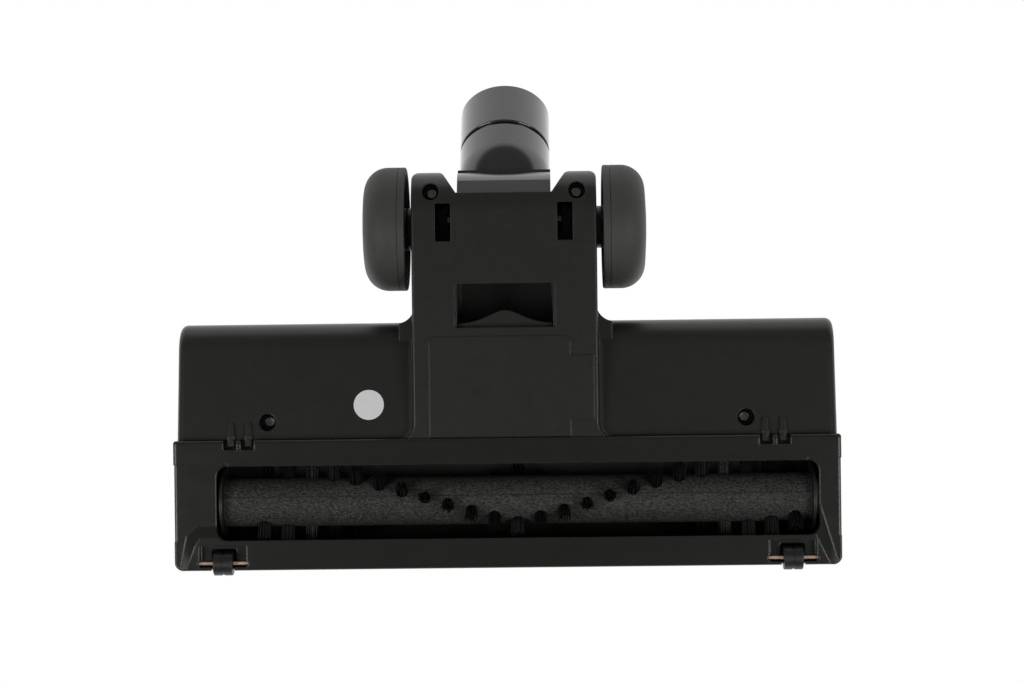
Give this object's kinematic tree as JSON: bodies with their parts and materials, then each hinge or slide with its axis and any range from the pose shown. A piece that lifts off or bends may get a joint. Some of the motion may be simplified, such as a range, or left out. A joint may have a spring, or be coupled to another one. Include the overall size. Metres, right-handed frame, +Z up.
{
  "type": "vacuum floor brush head",
  "caption": "Wide air-driven floor brush head with a bristled roll in its open mouth, rear wheels, front rollers and a tilting neck with a turning wand socket.",
  "frame": {"origin": "on the floor, in the middle of the head's box", "axes": "+Z up, +X along the head towards its belt end, the brush mouth's front edge faces -Y and the neck rises towards +Y"},
  "size_m": [0.286, 0.2144, 0.0863],
  "materials": {
    "shell": "black moulded plastic with a low gloss",
    "sole": "black moulded plastic, glossier than the shells",
    "tyre_plastic": "fine matte grain",
    "roller_plastic": "smooth matte",
    "neck_plastic": "black satin",
    "roll_plastic": "rough, streaked along its length",
    "bristle": "bundled nylon strands",
    "pin_metal": "worn copper-coloured wire",
    "steel": "turned steel",
    "screw_steel": "blackened steel",
    "bush_metal": "sintered bronze",
    "acetal": "natural white acetal",
    "belt_rubber": "smooth rubber",
    "inner_plastic": "dark moulded plastic",
    "paper": "white coated paper"
  },
  "bodies": {
    "housing": {"lower_housing": "shell", "top_cover": "shell", "sole_frame": "sole", "housing_screws": "screw_steel", "dot_sticker": "paper", "brush_bearing_left": "inner_plastic", "brush_bearing_right": "acetal", "shaft_bearing": "bush_metal", "turbine_bearing_left": "bush_metal", "turbine_bearing_right": "bush_metal", "drive_belt": "belt_rubber", "air_nozzle": "inner_plastic", "air_guide": "shell", "wheel_axle_left": "inner_plastic", "wheel_axle_right": "inner_plastic", "roller_pin_left": "pin_metal", "roller_pin_right": "pin_metal"},
    "brush": {"brush_roll": "roll_plastic", "bristle_tufts": "bristle", "brush_axle": "steel", "brush_end_disc_left": "roller_plastic", "brush_end_disc_right": "roller_plastic", "brush_pulley": "inner_plastic"},
    "turbine": {"turbine_rotor": "inner_plastic", "turbine_shaft": "steel", "drive_pinion": "inner_plastic"},
    "neck": {"neck_elbow": "neck_plastic"},
    "collar": {"wand_collar": "neck_plastic", "collar_ring": "inner_plastic"},
    "left_wheel": {"wheel_left": "tyre_plastic"},
    "right_wheel": {"wheel_right": "tyre_plastic"},
    "left_roller": {"roller_left": "roller_plastic"},
    "right_roller": {"roller_right": "roller_plastic"}
  },
  "joints": [
    {"name": "neck_tilt", "type": "hinge", "parent": "housing", "child": "neck", "pos_m": [0, 0.04554, 0.027], "axis": [1, 0, 0], "range_deg": [-35, 40]},
    {"name": "collar_swivel", "type": "hinge", "parent": "neck", "child": "collar", "pos_m": [0, 0.08211, 0.0611], "axis": [0, 0.7314, 0.682], "continuous": true},
    {"name": "wheel_left_spin", "type": "hinge", "parent": "housing", "child": "left_wheel", "pos_m": [0.053, 0.04154, 0.027], "axis": [1, 0, 0], "continuous": true},
    {"name": "wheel_right_spin", "type": "hinge", "parent": "housing", "child": "right_wheel", "pos_m": [-0.053, 0.04154, 0.027], "axis": [1, 0, 0], "continuous": true},
    {"name": "roller_left_spin", "type": "hinge", "parent": "housing", "child": "left_roller", "pos_m": [0.122, -0.10196, 0.0052], "axis": [1, 0, 0], "continuous": true},
    {"name": "roller_right_spin", "type": "hinge", "parent": "housing", "child": "right_roller", "pos_m": [-0.122, -0.10196, 0.0052], "axis": [1, 0, 0], "continuous": true},
    {"name": "brush_spin", "type": "hinge", "parent": "housing", "child": "brush", "pos_m": [0, -0.07676, 0.019], "axis": [1, 0, 0], "continuous": true},
    {"name": "turbine_spin", "type": "hinge", "parent": "housing", "child": "turbine", "pos_m": [0, -0.02646, 0.027], "axis": [1, 0, 0], "continuous": true}
  ],
  "couplings": [
    {"joint": "turbine_spin", "follows": "brush_spin", "ratio": 2}
  ]
}
